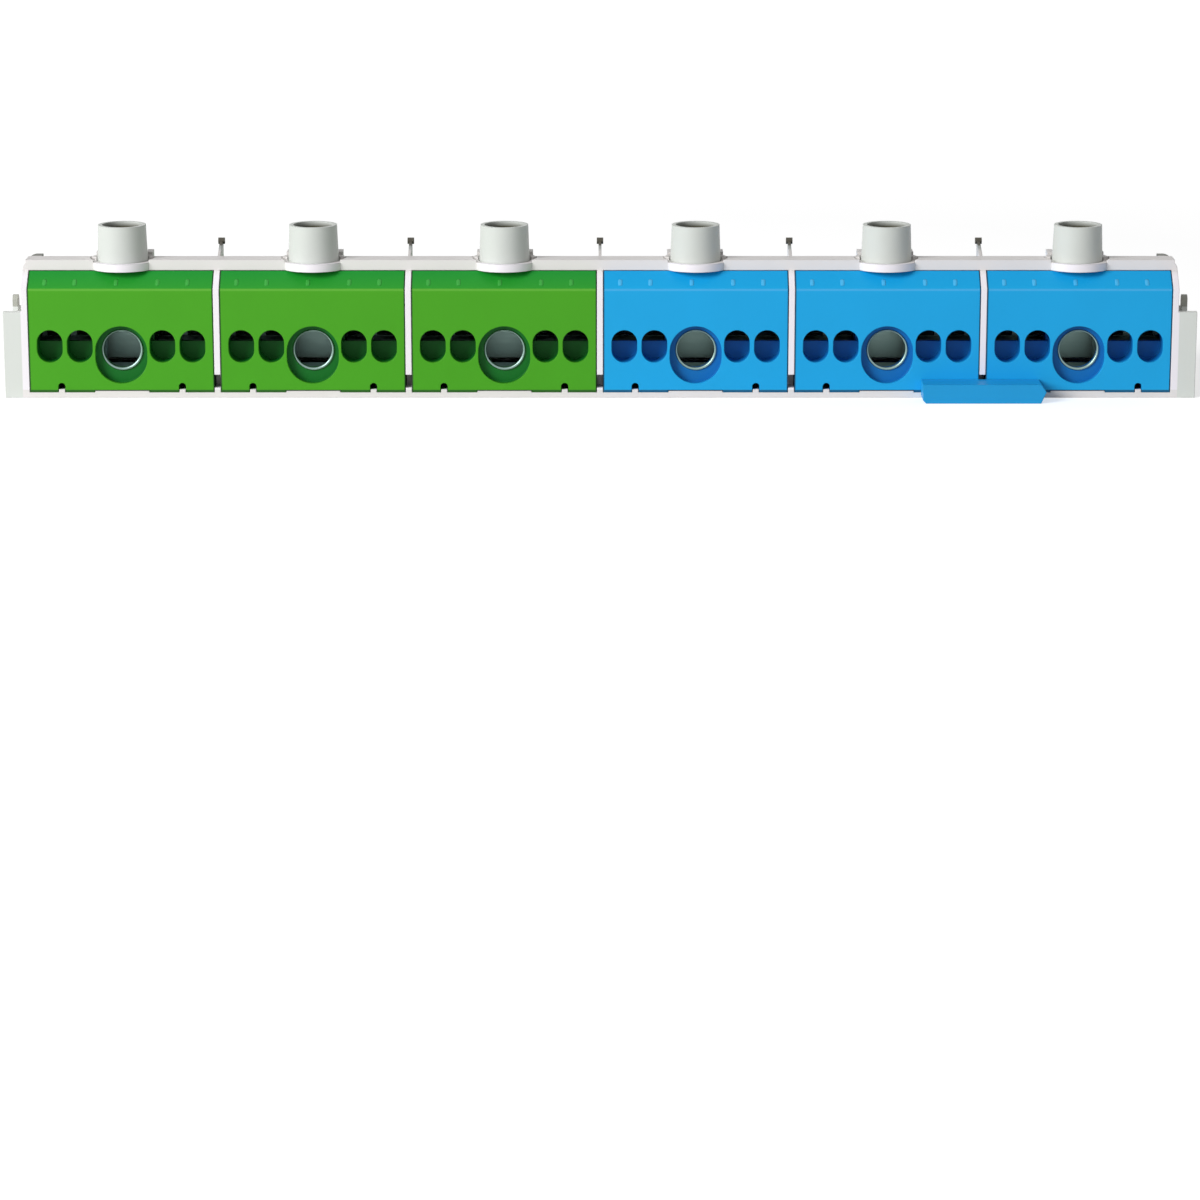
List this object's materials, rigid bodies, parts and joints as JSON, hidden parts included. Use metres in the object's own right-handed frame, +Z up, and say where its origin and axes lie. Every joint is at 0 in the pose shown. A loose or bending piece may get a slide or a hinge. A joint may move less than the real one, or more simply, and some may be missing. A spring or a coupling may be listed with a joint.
{
  "type": "earth and neutral terminal bar",
  "caption": "Terminal bar with green and blue clamp blocks in a light grey carrier: screw clamps under guide sleeves, push-in contacts beside them, and a bridge.",
  "frame": {"origin": "middle of the underside of the bar's bounding box", "axes": "+X along the bar, the first green block at -X; the wire entries face -Y; +Z up, along the guide sleeves"},
  "size_m": [0.1992, 0.0252, 0.0283],
  "materials": {
    "light_grey_plastic": "fine satin moulded plastic",
    "sleeve_plastic": "fine satin moulded plastic",
    "green_plastic": "fine satin moulded plastic",
    "blue_plastic": "fine satin moulded plastic",
    "tinned_copper": "dull tin plating",
    "bare_copper": "bare drawn copper",
    "spring_steel": "rolled stainless strip",
    "zinc_plated_steel": "blue zinc plating"
  },
  "bodies": {
    "bar": {"carrier": "light_grey_plastic", "bridge_cover": "blue_plastic", "bridge_link": "bare_copper", "block_pe_1": "green_plastic", "guide_sleeve_1": "sleeve_plastic", "busbar_1": "tinned_copper", "contact_springs_1": "spring_steel", "block_pe_2": "green_plastic", "guide_sleeve_2": "sleeve_plastic", "busbar_2": "tinned_copper", "contact_springs_2": "spring_steel", "block_pe_3": "green_plastic", "guide_sleeve_3": "sleeve_plastic", "busbar_3": "tinned_copper", "contact_springs_3": "spring_steel", "block_n_1": "blue_plastic", "guide_sleeve_4": "sleeve_plastic", "busbar_4": "tinned_copper", "contact_springs_4": "spring_steel", "block_n_2": "blue_plastic", "guide_sleeve_5": "sleeve_plastic", "busbar_5": "tinned_copper", "contact_springs_5": "spring_steel", "block_n_3": "blue_plastic", "guide_sleeve_6": "sleeve_plastic", "busbar_6": "tinned_copper", "contact_springs_6": "spring_steel"},
    "screw_1": {"clamp_screw_1": "zinc_plated_steel"},
    "cage_1": {"clamp_cage_1": "zinc_plated_steel"},
    "screw_2": {"clamp_screw_2": "zinc_plated_steel"},
    "cage_2": {"clamp_cage_2": "zinc_plated_steel"},
    "screw_3": {"clamp_screw_3": "zinc_plated_steel"},
    "cage_3": {"clamp_cage_3": "zinc_plated_steel"},
    "screw_4": {"clamp_screw_4": "zinc_plated_steel"},
    "cage_4": {"clamp_cage_4": "zinc_plated_steel"},
    "screw_5": {"clamp_screw_5": "zinc_plated_steel"},
    "cage_5": {"clamp_cage_5": "zinc_plated_steel"},
    "screw_6": {"clamp_screw_6": "zinc_plated_steel"},
    "cage_6": {"clamp_cage_6": "zinc_plated_steel"}
  },
  "joints": [
    {"name": "screw_turn_1", "type": "hinge", "parent": "bar", "child": "screw_1", "pos_m": [-0.08, -0.0014, 0.0188], "axis": [0, 0, -1], "range_deg": [0, 1801]},
    {"name": "cage_lift_1", "type": "slide", "parent": "bar", "child": "cage_1", "axis": [0, 0, 1], "range_m": [0, 0.004]},
    {"name": "screw_turn_2", "type": "hinge", "parent": "bar", "child": "screw_2", "pos_m": [-0.048, -0.0014, 0.0188], "axis": [0, 0, -1], "range_deg": [0, 1801]},
    {"name": "cage_lift_2", "type": "slide", "parent": "bar", "child": "cage_2", "axis": [0, 0, 1], "range_m": [0, 0.004]},
    {"name": "screw_turn_3", "type": "hinge", "parent": "bar", "child": "screw_3", "pos_m": [-0.016, -0.0014, 0.0188], "axis": [0, 0, -1], "range_deg": [0, 1801]},
    {"name": "cage_lift_3", "type": "slide", "parent": "bar", "child": "cage_3", "axis": [0, 0, 1], "range_m": [0, 0.004]},
    {"name": "screw_turn_4", "type": "hinge", "parent": "bar", "child": "screw_4", "pos_m": [0.016, -0.0014, 0.0188], "axis": [0, 0, -1], "range_deg": [0, 1801]},
    {"name": "cage_lift_4", "type": "slide", "parent": "bar", "child": "cage_4", "axis": [0, 0, 1], "range_m": [0, 0.004]},
    {"name": "screw_turn_5", "type": "hinge", "parent": "bar", "child": "screw_5", "pos_m": [0.048, -0.0014, 0.0188], "axis": [0, 0, -1], "range_deg": [0, 1801]},
    {"name": "cage_lift_5", "type": "slide", "parent": "bar", "child": "cage_5", "axis": [0, 0, 1], "range_m": [0, 0.004]},
    {"name": "screw_turn_6", "type": "hinge", "parent": "bar", "child": "screw_6", "pos_m": [0.08, -0.0014, 0.0188], "axis": [0, 0, -1], "range_deg": [0, 1801]},
    {"name": "cage_lift_6", "type": "slide", "parent": "bar", "child": "cage_6", "axis": [0, 0, 1], "range_m": [0, 0.004]}
  ],
  "couplings": [
    {"joint": "screw_turn_1", "follows": "cage_lift_1", "rad_per_m": 7854},
    {"joint": "screw_turn_2", "follows": "cage_lift_2", "rad_per_m": 7854},
    {"joint": "screw_turn_3", "follows": "cage_lift_3", "rad_per_m": 7854},
    {"joint": "screw_turn_4", "follows": "cage_lift_4", "rad_per_m": 7854},
    {"joint": "screw_turn_5", "follows": "cage_lift_5", "rad_per_m": 7854},
    {"joint": "screw_turn_6", "follows": "cage_lift_6", "rad_per_m": 7854}
  ]
}
